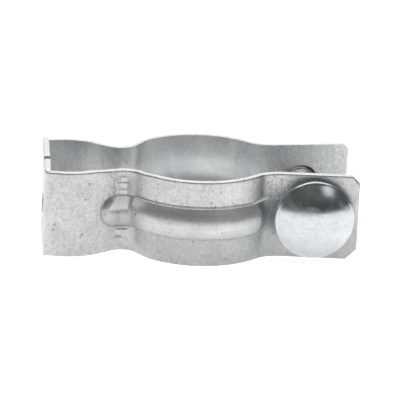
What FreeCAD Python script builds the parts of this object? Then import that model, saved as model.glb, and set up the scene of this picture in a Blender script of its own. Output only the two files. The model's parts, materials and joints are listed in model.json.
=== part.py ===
import FreeCAD, Part
import math
import os

# One-piece strap hanger clamp for round conduit, closed by a carriage bolt and a nut.
# Millimetres. The origin is the centre of the mounting hole on the outer face of the base web.
# +X runs from the base to the ears, +Y to the ear that carries the nut, +Z along the conduit.
# The strap is one stamping. It bends at the two arms of its base as the bolt is tightened, so it
# is built as a base and two jaws, and a knuckle in each arm stands for the elastic bend there.

# Strap
SHEET = 1.1
STRIP_WIDTH = 15.875
WEB_WIDTH = 16.5
BASE_HALF_WIDTH = 9.65
CORNER_RADIUS = 1.5
ARM_LEAN = math.radians(9.0)
ARM_STRAIGHT = 2.8
BOX_FALL = math.radians(25.0)
NECK_X = 14.4
NECK_HALF_GAP = 7.05
NECK_RADIUS = 3.2
NECK_TRIM = 0.32
NECK_TRIM_HALF_LENGTH = 5.0
CONDUIT_RADIUS = 13.35
EAR_BEND_RADIUS = 6.75
EAR_HALF_GAP = 8.93
EAR_SPLAY = math.radians(5.3)
STRAP_LENGTH = 57.4

# Pressed rib along the neck and saddle: a round bead that stands out of the sheet
RIB_RADIUS = 4.11
RIB_HEIGHT = 1.3

# Base web
MOUNT_HOLE_RADIUS = 3.55
EDGE_NOTCH_Y = -2.2
EDGE_NOTCH_WIDTH = 1.4
EDGE_NOTCH_DEPTH = 0.8

# Knuckle in each arm
KNUCKLE_RUN = 2.75
KNUCKLE_CLEARANCE = 0.04
KNUCKLE_STEP = 0.3

# Ears
FRONT_TOP_CORNER = 1.45
FRONT_BOTTOM_CORNER = 2.0
REAR_TOP_CORNER = 0.9
REAR_BOTTOM_CORNER = 1.5
NUT_EAR_HOLE_RADIUS = 3.8
SLOT_CENTRE_RUN = 5.08
SLOT_LENGTH = 8.1
SLOT_HEIGHT = 7.1
SLOT_CORNER_RADIUS = 0.8

# Bolt: 1/4-20 carriage bolt, one inch under the head
HEAD_CENTRE = FreeCAD.Vector(49.230, -10.443, 0.0)
BOLT_LEAN = math.radians(1.6)
HEAD_RADIUS = 7.35
HEAD_LAND = 0.9
HEAD_HEIGHT = 3.4
HEAD_EDGE_RADIUS = 0.3
NECK_SQUARE = 6.5
NECK_CORNER_RADIUS = 0.5
NECK_LENGTH = 3.2
SHANK_RADIUS = 3.175
SHANK_LENGTH = 25.4
TIP_CHAMFER = 0.8

# Nut: 1/4-20 hexagon nut
NUT_FACE_RUN = 20.283
NUT_THICKNESS = 4.76
NUT_ACROSS_FLATS = 11.11
NUT_BORE_RADIUS = 3.235
NUT_COUNTERSINK = 0.5
NUT_CORNER_FALL = math.radians(30.0)

FAR = 40.0
X_AXIS = FreeCAD.Vector(1, 0, 0)
Y_AXIS = FreeCAD.Vector(0, 1, 0)
Z_AXIS = FreeCAD.Vector(0, 0, 1)
ORIGIN = FreeCAD.Vector(0, 0, 0)


def direction(angle):
    """The level direction at this angle from +X."""
    return FreeCAD.Vector(math.cos(angle), math.sin(angle), 0)


def outward(angle):
    """The strap's outward normal where its outer face runs at this angle."""
    return FreeCAD.Vector(-math.sin(angle), math.cos(angle), 0)


class Face:
    """The outer face of half the strap in plan, as tangent straight and round stretches.

    Each stretch holds its start, middle and end as (point, angle of the face).
    """

    def __init__(self, start, angle):
        self.point = start
        self.angle = angle
        self.stretches = {}

    def line(self, name, length):
        run = direction(self.angle)
        points = [self.point + run * (length * share) for share in (0, 0.5, 1)]
        self.stretches[name] = [(p, self.angle) for p in points]
        self.point = points[2]

    def arc(self, name, radius, end_angle):
        side = 1.0 if end_angle > self.angle else -1.0
        centre = self.point + outward(self.angle) * (side * radius)
        places = []
        for share in (0, 0.5, 1):
            angle = self.angle + (end_angle - self.angle) * share
            places.append((centre - outward(angle) * (side * radius), angle))
        self.stretches[name] = places
        self.point, self.angle = places[2]
        return centre


def edge(stretch, depth):
    """One stretch of the face, moved into the sheet by depth."""
    start, middle, end = [p - outward(angle) * depth for p, angle in stretch]
    if abs(stretch[0][1] - stretch[2][1]) < 1e-9:
        return Part.LineSegment(start, end).toShape()
    return Part.Arc(start, middle, end).toShape()


def half_strap():
    """The whole outer face of the rear half, from the middle of the web to the ear's end."""
    saddle_radius = CONDUIT_RADIUS + SHEET
    # the neck and ear bends touch the saddle's circle, which is centred between the jaws
    neck_angle = math.acos((NECK_HALF_GAP + NECK_RADIUS) / (saddle_radius + NECK_RADIUS))
    ear_angle = math.acos((EAR_HALF_GAP + EAR_BEND_RADIUS) / (saddle_radius + EAR_BEND_RADIUS))
    corner_turn = math.pi / 2 - ARM_LEAN
    corner_run = CORNER_RADIUS * math.tan(corner_turn / 2)
    # the round side of the base box meets the straight fall into the neck
    side_start = FreeCAD.Vector(0, BASE_HALF_WIDTH, 0) + direction(ARM_LEAN) * ARM_STRAIGHT
    neck_start = FreeCAD.Vector(NECK_X, NECK_HALF_GAP + NECK_RADIUS, 0)
    neck_start -= outward(-BOX_FALL) * NECK_RADIUS
    slope = math.tan(BOX_FALL)
    rise = neck_start.y - side_start.y + slope * (neck_start.x - side_start.x)
    per_radius = math.cos(BOX_FALL) - math.cos(ARM_LEAN)
    per_radius += slope * (math.sin(ARM_LEAN) + math.sin(BOX_FALL))
    side_radius = rise / per_radius

    face = Face(ORIGIN, math.pi / 2)
    face.line("web", BASE_HALF_WIDTH - corner_run)
    face.arc("corner", CORNER_RADIUS, ARM_LEAN)
    face.line("arm", KNUCKLE_RUN - corner_run)
    face.line("jaw_root", ARM_STRAIGHT - KNUCKLE_RUN)
    face.arc("side", side_radius, -BOX_FALL)
    face.line("fall", (neck_start - face.point).Length)
    face.arc("neck", NECK_RADIUS, neck_angle)
    face.saddle_centre = face.arc("saddle", saddle_radius, -ear_angle)
    face.arc("ear_bend", EAR_BEND_RADIUS, EAR_SPLAY)
    face.ear_start = face.point
    face.line("ear", (STRAP_LENGTH - face.point.x) / math.cos(EAR_SPLAY))
    return face


FACE = half_strap()
BASE_STRETCHES = ["web", "corner", "arm"]
JAW_STRETCHES = ["jaw_root", "side", "fall", "neck", "saddle", "ear_bend", "ear"]
KNUCKLE = FACE.stretches["arm"][2][0] - outward(ARM_LEAN) * (SHEET / 2)


def upright(wire, height):
    """The solid of this height that stands on a plan outline, centred on z = 0."""
    solid = Part.Face(wire).extrude(Z_AXIS * height)
    solid.translate(Z_AXIS * (-height / 2))
    return solid


def sheet(names, height):
    """The flat-edged sheet along the named stretches."""
    outer = [edge(FACE.stretches[n], 0) for n in names]
    inner = [edge(FACE.stretches[n], SHEET) for n in reversed(names)]
    ends = [edge_pair_line(outer[-1], inner[0], 1), edge_pair_line(outer[0], inner[-1], 0)]
    return upright(Part.Wire(Part.__sortEdges__(outer + inner + ends)), height)


def edge_pair_line(outer, inner, end):
    """The line across the sheet's thickness between matching ends of two edges."""
    a = outer.Vertexes[-1].Point if end else outer.Vertexes[0].Point
    b = inner.Vertexes[-1].Point if end else inner.Vertexes[0].Point
    return Part.LineSegment(a, b).toShape()


def mirrored(shape):
    """The same shape on the other side of the plane between the jaws."""
    return shape.mirror(ORIGIN, Y_AXIS)


def rod(radius, start, axis, length):
    return Part.makeCylinder(radius, length, start, axis)


def strap_base():
    """Web with the mounting hole, two corner bends and the short arms up to the knuckles."""
    half = sheet(BASE_STRETCHES, STRIP_WIDTH)
    seat = rod(SHEET / 2 + KNUCKLE_CLEARANCE, KNUCKLE - Z_AXIS * STRIP_WIDTH, Z_AXIS, 2 * STRIP_WIDTH)
    beyond = Part.makeBox(FAR, FAR, FAR, FreeCAD.Vector(-KNUCKLE_STEP, -FAR / 2, -FAR / 2))
    beyond.rotate(ORIGIN, Z_AXIS, math.degrees(ARM_LEAN))
    beyond.translate(KNUCKLE)
    half = half.cut(beyond).cut(seat)
    web_half = FACE.stretches["web"][2][0].y
    web = Part.makeBox(SHEET, 2 * web_half, WEB_WIDTH, FreeCAD.Vector(0, -web_half, -WEB_WIDTH / 2))
    base = half.fuse([mirrored(half), web]).removeSplitter()
    hole = rod(MOUNT_HOLE_RADIUS, X_AXIS * -SHEET, X_AXIS, 3 * SHEET)
    top = WEB_WIDTH / 2
    half_notch = EDGE_NOTCH_WIDTH / 2
    notch = Part.makePolygon([
        FreeCAD.Vector(-SHEET, EDGE_NOTCH_Y - half_notch, top),
        FreeCAD.Vector(-SHEET, EDGE_NOTCH_Y + half_notch, top),
        FreeCAD.Vector(-SHEET, EDGE_NOTCH_Y, top - EDGE_NOTCH_DEPTH),
        FreeCAD.Vector(-SHEET, EDGE_NOTCH_Y - half_notch, top),
    ])
    return base.cut([hole, Part.Face(notch).extrude(X_AXIS * 3 * SHEET)])


def rib_core(radius):
    """The round core of the rib: it starts with a ball before the neck, follows the neck and the
    saddle, and ends with a ball that sinks into the ear bend."""
    depth = RIB_RADIUS - RIB_HEIGHT
    neck = edge(FACE.stretches["neck"], depth)
    centre = FACE.saddle_centre
    first = FACE.stretches["saddle"][0][1]
    last = FACE.stretches["saddle"][2][1]
    path_radius = CONDUIT_RADIUS + SHEET - depth
    round_points = [centre + outward(a) * path_radius for a in (first, (first + last) / 2, last)]
    path = Part.Wire([neck, Part.Arc(*round_points).toShape()])
    start, start_angle = FACE.stretches["neck"][0]
    start = start - outward(start_angle) * depth
    ring = Part.Wire(Part.makeCircle(radius, start, direction(start_angle)))
    balls = [Part.makeSphere(radius, end) for end in (start, round_points[2])]
    return path.makePipeShell([ring], True, False).fuse(balls)


def outside_sheet():
    """Everything outward of the sheet's inner face, between the neck and the ear."""
    names = ["fall", "neck", "saddle", "ear_bend", "ear"]
    inner = [edge(FACE.stretches[n], SHEET) for n in names]
    start = inner[0].Vertexes[0].Point
    end = inner[-1].Vertexes[-1].Point
    corners = [end, end + Y_AXIS * FAR, start + Y_AXIS * FAR, start]
    sides = [Part.LineSegment(a, b).toShape() for a, b in zip(corners, corners[1:])]
    return upright(Part.Wire(Part.__sortEdges__(inner + sides)), FAR)


def jaw():
    """One jaw on the rear side: knuckle, box side, neck, ribbed saddle and plain ear."""
    body = sheet(JAW_STRETCHES, STRIP_WIDTH)
    knuckle = rod(SHEET / 2, KNUCKLE - Z_AXIS * (STRIP_WIDTH / 2), Z_AXIS, STRIP_WIDTH)
    bead = rib_core(RIB_RADIUS).common(outside_sheet())
    body = body.fuse([knuckle, bead])
    half_run = NECK_TRIM_HALF_LENGTH
    trim_radius = (half_run ** 2 + NECK_TRIM ** 2) / (2 * NECK_TRIM)
    trim_height = STRIP_WIDTH / 2 - NECK_TRIM + trim_radius
    trims = [
        rod(trim_radius, FreeCAD.Vector(NECK_X, 0, side * trim_height), Y_AXIS, FAR)
        for side in (-1, 1)
    ]
    return body.cut([rib_core(RIB_RADIUS - SHEET)] + trims).removeSplitter()


def ear_corner(size, side):
    """The wedge cut off an ear's upper (side 1) or lower (side -1) corner."""
    end = STRAP_LENGTH + SHEET
    edge_z = side * STRIP_WIDTH / 2
    x = STRAP_LENGTH - size
    points = [
        FreeCAD.Vector(x - SHEET, 0, edge_z + side * SHEET),
        FreeCAD.Vector(end, 0, edge_z + side * SHEET),
        FreeCAD.Vector(end, 0, edge_z - side * (size + SHEET)),
    ]
    return Part.Face(Part.makePolygon(points + [points[0]])).extrude(Y_AXIS * FAR)


def slot():
    """The front ear's slot for the bolt's square neck, cut square to the ear."""
    half_length = SLOT_LENGTH / 2
    half_height = SLOT_HEIGHT / 2
    box = Part.makeBox(
        SLOT_LENGTH, 3 * SHEET, SLOT_HEIGHT,
        FreeCAD.Vector(SLOT_CENTRE_RUN - half_length, -2 * SHEET, -half_height),
    )
    across = [e for e in box.Edges if abs(e.tangentAt(e.FirstParameter).y) > 0.9]
    box = box.makeFillet(SLOT_CORNER_RADIUS, across)
    box.rotate(ORIGIN, Z_AXIS, math.degrees(EAR_SPLAY))
    box.translate(FACE.ear_start)
    return box


BOLT_RUN = FreeCAD.Vector(-math.sin(BOLT_LEAN), math.cos(BOLT_LEAN), 0)


def along_bolt(distance):
    """The point on the bolt's axis at this distance from the underside of its head."""
    return HEAD_CENTRE + BOLT_RUN * distance


def on_bolt_axis(shape, distance):
    """Stands a shape built along +Z on the bolt's axis, at this distance from the head."""
    turn = FreeCAD.Rotation(direction(BOLT_LEAN), Z_AXIS * -1, BOLT_RUN, "XZY")
    shape.Placement = FreeCAD.Placement(along_bolt(distance), turn)
    return shape


def front_jaw():
    cuts = [
        mirrored(slot()),
        mirrored(ear_corner(FRONT_TOP_CORNER, 1)),
        mirrored(ear_corner(FRONT_BOTTOM_CORNER, -1)),
    ]
    return mirrored(jaw()).cut(cuts)


def rear_jaw():
    middle = FACE.ear_start - outward(EAR_SPLAY) * (SHEET / 2)
    # where the bolt's axis crosses the middle of the ear's sheet
    to_middle = (middle - HEAD_CENTRE).dot(outward(EAR_SPLAY))
    crossing = along_bolt(to_middle / BOLT_RUN.dot(outward(EAR_SPLAY)))
    hole = rod(NUT_EAR_HOLE_RADIUS, crossing - outward(EAR_SPLAY) * SHEET, outward(EAR_SPLAY), 2 * SHEET)
    return jaw().cut([hole, ear_corner(REAR_TOP_CORNER, 1), ear_corner(REAR_BOTTOM_CORNER, -1)])


def carriage_bolt():
    """Domed head, square neck and shank, built along +Z with the underside of the head at 0."""
    dome = HEAD_HEIGHT - HEAD_LAND
    dome_radius = (HEAD_RADIUS ** 2 + dome ** 2) / (2 * dome)
    ball = Part.makeSphere(dome_radius, FreeCAD.Vector(0, 0, dome_radius - HEAD_HEIGHT))
    head = Part.makeCylinder(HEAD_RADIUS, HEAD_HEIGHT, Z_AXIS * -HEAD_HEIGHT).common(ball)
    rims = [e for e in head.Edges if not e.Degenerated and isinstance(e.Curve, Part.Circle) and e.Closed]
    head = head.makeFillet(HEAD_EDGE_RADIUS, rims)
    half = NECK_SQUARE / 2
    neck = Part.makeBox(NECK_SQUARE, NECK_SQUARE, NECK_LENGTH, FreeCAD.Vector(-half, -half, 0))
    upright_edges = [e for e in neck.Edges if abs(e.tangentAt(e.FirstParameter).z) > 0.9]
    neck = neck.makeFillet(NECK_CORNER_RADIUS, upright_edges)
    shank = Part.makeCylinder(SHANK_RADIUS, SHANK_LENGTH - TIP_CHAMFER)
    tip = Part.makeCone(
        SHANK_RADIUS, SHANK_RADIUS - TIP_CHAMFER, TIP_CHAMFER, Z_AXIS * (SHANK_LENGTH - TIP_CHAMFER)
    )
    return on_bolt_axis(head.fuse([neck, shank, tip]).removeSplitter(), 0)


def hex_nut():
    """Hexagon nut with chamfered corners on both faces and a countersunk bore."""
    corner = NUT_ACROSS_FLATS / math.sqrt(3)
    points = [direction(math.radians(60 * k)) * corner for k in range(7)]
    body = Part.Face(Part.makePolygon(points)).extrude(Z_AXIS * NUT_THICKNESS)
    # each face is a circle as wide as the flats, and the corners fall away from it
    face_radius = NUT_ACROSS_FLATS / 2
    reach = NUT_THICKNESS / math.tan(NUT_CORNER_FALL)
    low = Part.makeCone(face_radius, face_radius + reach, NUT_THICKNESS)
    high = Part.makeCone(face_radius + reach, face_radius, NUT_THICKNESS)
    bore = Part.makeCylinder(NUT_BORE_RADIUS, NUT_THICKNESS)
    wide = NUT_BORE_RADIUS + NUT_COUNTERSINK
    sinks = [
        Part.makeCone(wide, NUT_BORE_RADIUS, NUT_COUNTERSINK),
        Part.makeCone(NUT_BORE_RADIUS, wide, NUT_COUNTERSINK, Z_AXIS * (NUT_THICKNESS - NUT_COUNTERSINK)),
    ]
    body = body.common(low).common(high).cut([bore] + sinks)
    return on_bolt_axis(body, NUT_FACE_RUN)


NODES = {
    "strap_base": strap_base,
    "front_jaw": front_jaw,
    "rear_jaw": rear_jaw,
    "carriage_bolt": carriage_bolt,
    "hex_nut": hex_nut,
}

os.makedirs("parts", exist_ok=True)
for name, build in NODES.items():
    shape = build()
    solid = shape.Solids[0]
    print(name, "solids", len(shape.Solids), "valid", solid.isValid(), "volume", round(solid.Volume, 2))
    solid.exportStep("parts/" + name + ".step")
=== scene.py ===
import json
import math

import bmesh
import bpy
import numpy as np
from mathutils import Matrix, Vector


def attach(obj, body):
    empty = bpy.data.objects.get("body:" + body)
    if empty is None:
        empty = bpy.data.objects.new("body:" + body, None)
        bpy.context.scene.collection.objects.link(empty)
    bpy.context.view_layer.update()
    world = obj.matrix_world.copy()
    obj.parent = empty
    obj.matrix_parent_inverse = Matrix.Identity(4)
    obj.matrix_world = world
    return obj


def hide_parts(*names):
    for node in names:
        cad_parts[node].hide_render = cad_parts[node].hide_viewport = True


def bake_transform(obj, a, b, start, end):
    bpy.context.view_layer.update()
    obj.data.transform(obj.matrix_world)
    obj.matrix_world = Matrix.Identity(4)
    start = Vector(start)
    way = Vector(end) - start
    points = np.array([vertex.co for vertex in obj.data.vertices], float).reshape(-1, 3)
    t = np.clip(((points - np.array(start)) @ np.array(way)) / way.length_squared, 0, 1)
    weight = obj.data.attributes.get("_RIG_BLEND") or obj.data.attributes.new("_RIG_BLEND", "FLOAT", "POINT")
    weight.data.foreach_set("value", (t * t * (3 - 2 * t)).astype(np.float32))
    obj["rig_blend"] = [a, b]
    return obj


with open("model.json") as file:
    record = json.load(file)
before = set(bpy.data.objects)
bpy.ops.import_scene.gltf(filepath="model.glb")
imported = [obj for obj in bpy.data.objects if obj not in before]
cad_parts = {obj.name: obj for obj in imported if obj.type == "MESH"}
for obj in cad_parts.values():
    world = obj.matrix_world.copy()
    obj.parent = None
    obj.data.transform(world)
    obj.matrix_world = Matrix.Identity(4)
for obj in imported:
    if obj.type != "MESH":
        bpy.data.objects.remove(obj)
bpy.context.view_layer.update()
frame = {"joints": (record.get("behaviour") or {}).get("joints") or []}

MM = 0.001

# -------------------- sizes, in millimetres
# The strap's plan repeats the part's driving dimensions. The origin is the mounting hole's centre.
SHEET = 1.1
STRIP_WIDTH = 15.875
WEB_WIDTH = 16.5
BASE_HALF_WIDTH = 9.65
CORNER_RADIUS = 1.5
ARM_LEAN = math.radians(9.0)
ARM_STRAIGHT = 2.8
BOX_FALL = math.radians(25.0)
NECK_X = 14.4
NECK_HALF_GAP = 7.05
NECK_RADIUS = 3.2
CONDUIT_RADIUS = 13.35
EAR_BEND_RADIUS = 6.75
EAR_HALF_GAP = 8.93
EAR_SPLAY = math.radians(5.3)
STRAP_LENGTH = 57.4

# both edges of the strip curve in by this much at the neck, over this length to each side
NECK_TRIM = 0.32
NECK_TRIM_HALF_LENGTH = 5.0

# the pressed rib: its bead, the blend and the fine groove at its foot, the groove behind it with
# round shoulders, and the heights and widths of the ridge thrown up along its upper foot
RIB_HALF_WIDTH = 3.0
RIB_HEIGHT = 1.3
RIB_FOOT_BLEND = 0.06
RIB_END_BLEND = 0.45
RIB_FOOT_GROOVE = 0.05
GROOVE_DEPTH = 0.7
GROOVE_HALF_WIDTH = 2.3
GROOVE_BLEND = 0.8
LONG_RIDGE = 0.2
LONG_RIDGE_WIDTH = 0.17
END_RIDGE = 0.42
END_RIDGE_WIDTH = 0.22
RIDGE_RISE = 0.11

# pressed darts at the neck: height up the strap, half length along it and lift
DART_HALF_WIDTH = 0.28
DART_END_FLANK = 0.5
DART_SIDE_FLANK = 0.22
DARTS = ((6.2, 0.75, 0.08), (5.1, 1.15, 0.09), (3.8, 0.8, 0.09), (-3.85, 1.0, 0.12),
         (-5.5, 0.8, 0.06))

# the web's edges: a notch in the upper one, and the two corners that stand taller
EDGE_NOTCH_Y = -2.2
EDGE_NOTCH_HALF_WIDTH = 0.75
EDGE_NOTCH_DEPTH = 0.95
WEB_CORNER_RISE = 0.45

# corners cut off the ears, below and above, and the holes
FRONT_CORNERS = (2.0, 1.45)
REAR_CORNERS = (1.5, 0.9)
MOUNT_HOLE_RADIUS = 3.55
NUT_EAR_HOLE_RADIUS = 3.8
SLOT_CENTRE_RUN = 5.08
SLOT_LENGTH = 8.1
SLOT_HEIGHT = 7.1
SLOT_CORNER_RADIUS = 0.8

# masks for the finish: painted shade in creases and under the rolled top edge, the smooth pressed
# bead and corners, bands of painted shade on tight bends, lighter matt patches of painted highlight,
# painted shade darkening the lower half, the flaky ears, and the inner face
FACE_MARKS = ("painted_shade", "pressed", "shade_bands", "painted_highlight", "low", "flaky", "inner")

# cut edges of the sheet: the die rolls the outer face over at the top and leaves the other edges
# sharper, and the edges stand EDGE_COATING proud of the nominal width
ROLLED_EDGE = 0.27
BURRED_EDGE = 0.06
LOWER_EDGE = 0.07
EDGE_COATING = 0.1
END_ROUNDING = 0.12

# the first faces of the rolled edge carry the face's finish, with painted shade for the dark reflection in
# the rounding
ROLLED_DARK_FACES = 2
ROLLED_PAINTED_SHADE = 0.9

# the strap's grid: points up the face, and the spacing of its cross-sections
FACE_COLUMNS = 128
ROW_STEP = 0.24
ROW_TURN = math.radians(5.0)
TIP_ROW_STEP = 0.13
LEAST_ROW_GAP = 0.04

# the web piece ends on the straight part of each arm, and the smooth bend into the jaws ends in
# the side of the box
SEAM_RUN = 2.1
BEND_END_X = 12.5

# the bolt, in runs from the underside of its head, and the nut
BOLT_COLUMNS = 72
HEAD_RADIUS = 7.35
HEAD_LAND = 0.9
HEAD_HEIGHT = 3.4
RIM_ROUNDING = 0.32
RIM_FALL = 0.34
UNDERSIDE_ROUNDING = 0.2
UNDERSIDE_RUN = 0.22
HEAD_SEAT_RADIUS = 5.2
NECK_SQUARE = 6.5
NECK_CORNER_CUT = 0.28
NECK_LENGTH = 3.2
NECK_TAPER = 0.75
SHANK_LENGTH = 25.4
TIP_CHAMFER = 0.8
TIP_SLOPE = 0.8
THREAD_MAJOR = 3.14
THREAD_DEPTH = 0.62
THREAD_PITCH = 1.27
THREAD_START = 5.2
THREAD_RUN_OUT = 1.6
THREAD_GAP = 0.05
NUT_COLUMNS = 96
NUT_FACE_RUN = 20.283
NUT_THICKNESS = 4.76
NUT_ACROSS_FLATS = 11.11
NUT_FACE_SHARE = 0.97
NUT_COUNTERSINK = 0.4
NUT_CHAMFER = math.radians(28)

# edges sharper than this stay edges, in degrees, and the welding distances, in metres
SHARP_EDGE = 32
SHARP_THREAD_EDGE = 34
WELD = 1e-7
NO_LENGTH = 1e-8

# the floor: half its width in metres, its distance below the strap, and its glow
FLOOR_HALF_SIZE = 2.5
FLOOR_GAP = 0.05
FLOOR_GLOW = 0.81

# the middle of the strap's length, in metres, where the floor and the lights are centred
MIDDLE = 0.03


# -------------------- the strap's plan

class Plan:
    """The outer face of half the strap in plan: tangent straight and round stretches, measured
    along the face from the middle of the web."""

    def __init__(self):
        self.point = np.array([0.0, 0.0])
        self.angle = math.pi / 2
        self.run = 0.0
        self.stretches = []
        self.starts = {}

    def add(self, name, length, bend):
        """A stretch of this length that turns by bend radians per millimetre."""
        self.starts[name] = self.run
        self.stretches.append((self.run, length, self.point, self.angle, bend))
        self.point, self.angle = self.place(length, self.point, self.angle, bend)
        self.run += length

    def line(self, name, length):
        self.add(name, length, 0.0)

    def arc(self, name, radius, end_angle):
        turn = end_angle - self.angle
        self.add(name, abs(turn) * radius, math.copysign(1 / radius, turn))

    @staticmethod
    def place(distance, point, angle, bend):
        distance = np.asarray(distance, float)
        if bend == 0.0:
            run = np.stack([math.cos(angle) * distance, math.sin(angle) * distance], -1)
            return point + run, angle + 0 * distance
        turned = angle + bend * distance
        run = np.stack([np.sin(turned) - math.sin(angle), math.cos(angle) - np.cos(turned)], -1)
        return point + run / bend, turned

    def at(self, run):
        """Points and angles of the face at these runs."""
        run = np.asarray(run, float)
        points = np.zeros(run.shape + (2,))
        angles = np.zeros(run.shape)
        for start, length, point, angle, bend in self.stretches:
            here = run >= start
            p, a = self.place(run - start, point, angle, bend)
            points = np.where(here[..., None], p, points)
            angles = np.where(here, a, angles)
        return points, angles


def corner_leg():
    """How far the corner bend reaches from the sharp corner of the base."""
    return CORNER_RADIUS * math.tan((math.pi / 2 - ARM_LEAN) / 2)


def half_plan():
    """The plan from the middle of the web to the end of an ear. The side of the box is the arc that
    leaves the arm and falls onto the line into the neck."""
    saddle_radius = CONDUIT_RADIUS + SHEET
    neck_angle = math.acos((NECK_HALF_GAP + NECK_RADIUS) / (saddle_radius + NECK_RADIUS))
    ear_angle = math.acos((EAR_HALF_GAP + EAR_BEND_RADIUS) / (saddle_radius + EAR_BEND_RADIUS))
    side_x = ARM_STRAIGHT * math.cos(ARM_LEAN)
    side_y = BASE_HALF_WIDTH + ARM_STRAIGHT * math.sin(ARM_LEAN)
    neck_start_x = NECK_X - NECK_RADIUS * math.sin(BOX_FALL)
    neck_start_y = NECK_HALF_GAP + NECK_RADIUS - NECK_RADIUS * math.cos(BOX_FALL)
    slope = math.tan(BOX_FALL)
    rise = neck_start_y - side_y + slope * (neck_start_x - side_x)
    per_radius = math.cos(BOX_FALL) - math.cos(ARM_LEAN)
    per_radius += slope * (math.sin(ARM_LEAN) + math.sin(BOX_FALL))
    plan = Plan()
    plan.line("web", BASE_HALF_WIDTH - corner_leg())
    plan.arc("corner", CORNER_RADIUS, ARM_LEAN)
    plan.line("arm", ARM_STRAIGHT - corner_leg())
    plan.arc("side", rise / per_radius, -BOX_FALL)
    plan.line("fall", math.hypot(neck_start_x - plan.point[0], neck_start_y - plan.point[1]))
    plan.arc("neck", NECK_RADIUS, neck_angle)
    to_centre = np.array([math.sin(neck_angle), -math.cos(neck_angle)])
    plan.saddle_centre = plan.point + saddle_radius * to_centre
    plan.arc("saddle", saddle_radius, -ear_angle)
    plan.arc("ear_bend", EAR_BEND_RADIUS, EAR_SPLAY)
    plan.ear_start = plan.point
    plan.line("ear", (STRAP_LENGTH - plan.point[0]) / math.cos(EAR_SPLAY))
    return plan


PLAN = half_plan()


def pressed_bead(run, z, height, half):
    """How far a bead pressed along the neck and saddle is above the face, below 0 beside it. It has
    a ball at each end, and the ear bend rises over the far one."""
    bend = PLAN.starts["ear_bend"]
    beyond = np.maximum(np.maximum(PLAN.starts["neck"] - run, run - bend), 0)
    points, _ = PLAN.at(run)
    rise = np.linalg.norm(points - PLAN.saddle_centre, axis=-1) - (CONDUIT_RADIUS + SHEET)
    return height * (1 - (z ** 2 + beyond ** 2) / half ** 2) - np.where(run > bend, rise, 0)


def rib_bead(run, z):
    """The bead on the strap's outer face."""
    return pressed_bead(run, z, RIB_HEIGHT, RIB_HALF_WIDTH)


def rib_height(run, z):
    """The rib's lift out of the face, with a fine groove along its lower foot, and the ridge that
    is thrown up along its upper foot, most where the rib sinks into the ear bend."""
    bead = rib_bead(run, z)
    neck, bend = PLAN.starts["neck"], PLAN.starts["ear_bend"]
    fade = smooth_step(run, bend + 0.4, bend + 2.0)
    blend = RIB_FOOT_BLEND + RIB_END_BLEND * fade
    lift = 0.5 * (bead + np.sqrt(bead ** 2 + blend ** 2)) - 0.5 * (blend - RIB_FOOT_BLEND)
    tip = 0.4 + 0.6 * smooth_step(run, neck + 4.0, neck + 1.0)
    lift = lift - RIB_FOOT_GROOVE * tip * (1 - fade) * foot_mark(bead, 0.1) * smooth_step(z, 1.6, 0.4)
    foot, strong = ridge_line(run)
    long = LONG_RIDGE * smooth_step(run, neck + 3.4, neck + 4.6) * smooth_step(run, bend, bend - 1.5)
    lift = lift + long * np.exp(-((z - foot) / LONG_RIDGE_WIDTH) ** 2)
    return lift + END_RIDGE * strong * np.exp(-((z - foot) / END_RIDGE_WIDTH) ** 2)


def ridge_line(run):
    """Height of the ridge along the rib's upper foot, and 1 where it is strongest."""
    bend = PLAN.starts["ear_bend"]
    strong = band(run, bend - 1.4, bend - 0.2, bend + 2.6, bend + 3.5)
    return RIB_HALF_WIDTH + 0.1 + RIDGE_RISE * np.maximum(run - bend + 1.0, 0), strong


def groove_lift(run, z):
    """How far the groove behind the rib goes into the inner face. Its shoulders are round."""
    groove = pressed_bead(run, z, GROOVE_DEPTH, GROOVE_HALF_WIDTH)
    return 0.5 * (groove + np.sqrt(groove ** 2 + GROOVE_BLEND ** 2))


def foot_mark(bead, width):
    """1 along the rib's foot, fading out over this width to both sides."""
    return np.exp(-((bead + 0.02) / width) ** 2)


def dart_height(run, z):
    """Short pressed darts across the neck bend, above and below the rib, with soft flanks."""
    middle = PLAN.starts["neck"] + NECK_RADIUS * BOX_FALL - 0.1
    height = 0 * z
    for centre_z, half_length, lift in DARTS:
        along = (half_length - np.abs(run - middle)) / DART_END_FLANK
        across = (DART_HALF_WIDTH - np.abs(z - centre_z)) / DART_SIDE_FLANK
        height = height + lift * smooth_step(along, -0.5, 0.5) * smooth_step(across, -0.5, 0.5)
    return height


def unevenness(side_run, z):
    """The slight waviness of pressed sheet, the same on both faces."""
    a = np.sin(side_run * 0.37 + 0.9) * np.cos(z * 0.31 + 0.4)
    b = np.sin(side_run * 0.83 - 1.7 + 0.35 * z)
    c = np.cos(side_run * 0.19 - 0.6 * z + 2.1)
    return 0.018 * a + 0.009 * b + 0.011 * c


def outer_surface(side_run, z):
    """Points of the strap's outer face. side_run is negative on the front half."""
    return lifted(side_run, z, rib_height(np.abs(side_run), z))


def inner_surface(side_run, z, inset):
    """Points of the strap's inner face."""
    return lifted(side_run, z, groove_lift(np.abs(side_run), z) - SHEET + inset)


def lifted(side_run, z, lift):
    """Points this far outward of the strap's plan, with the sheet's unevenness."""
    run = np.abs(side_run)
    side = np.where(side_run < 0, -1.0, 1.0)
    points, angles = PLAN.at(run)
    lift = lift + unevenness(side_run, z)
    x = points[..., 0] - np.sin(angles) * lift
    y = (points[..., 1] + np.cos(angles) * lift) * side
    return np.stack([x, y, z + 0 * x], -1)


def surface_normal(side_run, z):
    """Outward unit normals of the outer face."""
    step = 0.01
    along = outer_surface(side_run + step, z) - outer_surface(side_run - step, z)
    up = outer_surface(side_run, z + step) - outer_surface(side_run, z - step)
    normal = np.cross(up, along)
    return normal / np.linalg.norm(normal, axis=-1, keepdims=True)


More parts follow.
